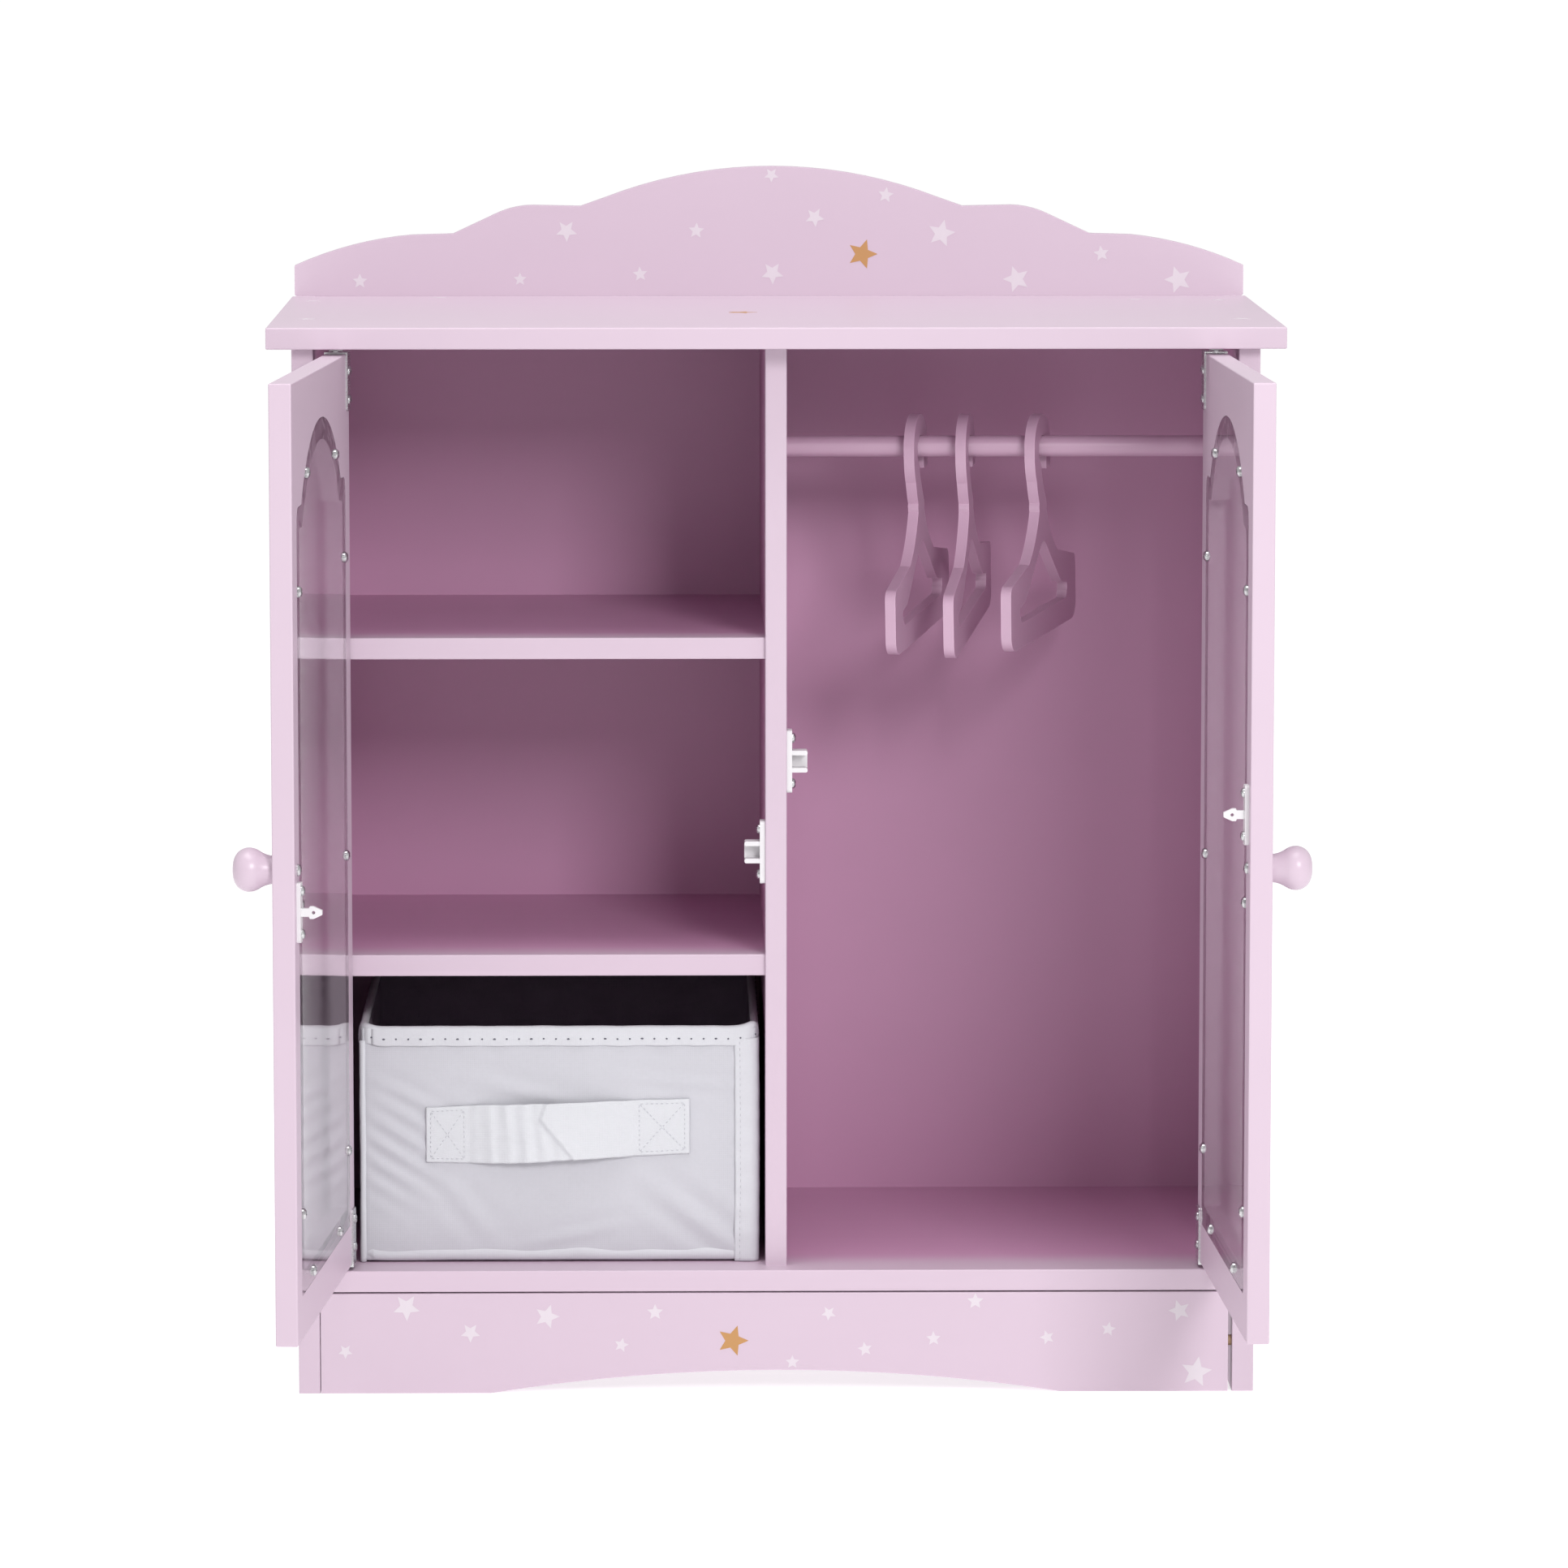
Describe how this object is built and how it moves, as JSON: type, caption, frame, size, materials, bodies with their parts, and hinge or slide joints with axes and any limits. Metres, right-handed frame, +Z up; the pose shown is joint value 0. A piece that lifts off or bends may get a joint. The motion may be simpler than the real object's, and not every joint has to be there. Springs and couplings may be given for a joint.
{
  "type": "doll wardrobe",
  "caption": "Doll's wardrobe of painted board with cloud-shaped crest, inset window doors on pivot hinges, shelves, pull-out fabric bin and a rail with flat hangers.",
  "frame": {"origin": "on the floor, half way between the side panels, in the plane of the carcass front edges", "axes": "+Z up, +Y from the front towards the back, +X to the right as seen from the front"},
  "size_m": [0.5705, 0.5426, 0.6741],
  "materials": {
    "painted_board": "satin lilac-pink paint on fibreboard",
    "clear_sheet": "clear polished plastic sheet",
    "zinc_steel": "bright zinc plate",
    "white_plastic": "white moulded plastic",
    "white_fabric": "white non-woven cloth with a dark lining",
    "raw_dowel": "bare turned dowel"
  },
  "bodies": {
    "carcass": {"side_panel_left": "painted_board", "side_panel_right": "painted_board", "top_board": "painted_board", "base_board": "painted_board", "divider_panel": "painted_board", "lower_shelf": "painted_board", "upper_shelf": "painted_board", "back_panel": "painted_board", "plinth_board": "painted_board", "crest_board": "painted_board", "hanging_rail": "painted_board", "assembly_screws": "zinc_steel", "dowel_pins": "raw_dowel", "crest_screws": "zinc_steel", "back_panel_screws": "zinc_steel", "pivot_bushes": "zinc_steel", "left_catch_clip": "white_plastic", "right_catch_clip": "white_plastic", "catch_clip_screws": "zinc_steel"},
    "left_door": {"left_door_panel": "painted_board", "left_window_pane": "clear_sheet", "left_pane_screws": "zinc_steel", "left_knob": "painted_board", "left_knob_screw": "zinc_steel", "left_catch_spear": "white_plastic", "left_catch_spear_screws": "zinc_steel", "left_lower_hinge_bracket": "zinc_steel", "left_upper_hinge_bracket": "zinc_steel", "left_hinge_screws": "zinc_steel", "left_hinge_pins": "zinc_steel"},
    "right_door": {"right_door_panel": "painted_board", "right_window_pane": "clear_sheet", "right_pane_screws": "zinc_steel", "right_knob": "painted_board", "right_knob_screw": "zinc_steel", "right_catch_spear": "white_plastic", "right_catch_spear_screws": "zinc_steel", "right_lower_hinge_bracket": "zinc_steel", "right_upper_hinge_bracket": "zinc_steel", "right_hinge_screws": "zinc_steel", "right_hinge_pins": "zinc_steel"},
    "storage_bin": {"bin_front_panel": "white_fabric", "bin_back_panel": "white_fabric", "bin_left_panel": "white_fabric", "bin_right_panel": "white_fabric", "bin_floor_panel": "white_fabric", "bin_handle_strap": "white_fabric"},
    "hanger_left": {"front_hanger_left": "painted_board"},
    "hanger_middle": {"front_hanger_middle": "painted_board"},
    "hanger_right": {"front_hanger_right": "painted_board"}
  },
  "joints": [
    {"name": "left_door_hinge", "type": "hinge", "parent": "carcass", "child": "left_door", "pos_m": [-0.2433, 0.006, 0], "axis": [0, 0, -1], "range_deg": [-94.5, 8]},
    {"name": "right_door_hinge", "type": "hinge", "parent": "carcass", "child": "right_door", "pos_m": [0.2433, 0.006, 0], "axis": [0, 0, 1], "range_deg": [-92, 10.5]},
    {"name": "bin_slide", "type": "slide", "parent": "carcass", "child": "storage_bin", "axis": [0, -1, 0], "range_m": [0, 0.15]},
    {"name": "hanger_left_swing", "type": "hinge", "parent": "carcass", "child": "hanger_left", "pos_m": [0.0815, 0.145, 0.5205], "axis": [1, 0, 0], "range_deg": [-18, 18]},
    {"name": "hanger_middle_swing", "type": "hinge", "parent": "carcass", "child": "hanger_middle", "pos_m": [0.1099, 0.145, 0.5205], "axis": [1, 0, 0], "range_deg": [-18, 18]},
    {"name": "hanger_right_swing", "type": "hinge", "parent": "carcass", "child": "hanger_right", "pos_m": [0.1513, 0.145, 0.5205], "axis": [1, 0, 0], "range_deg": [-18, 18]}
  ]
}
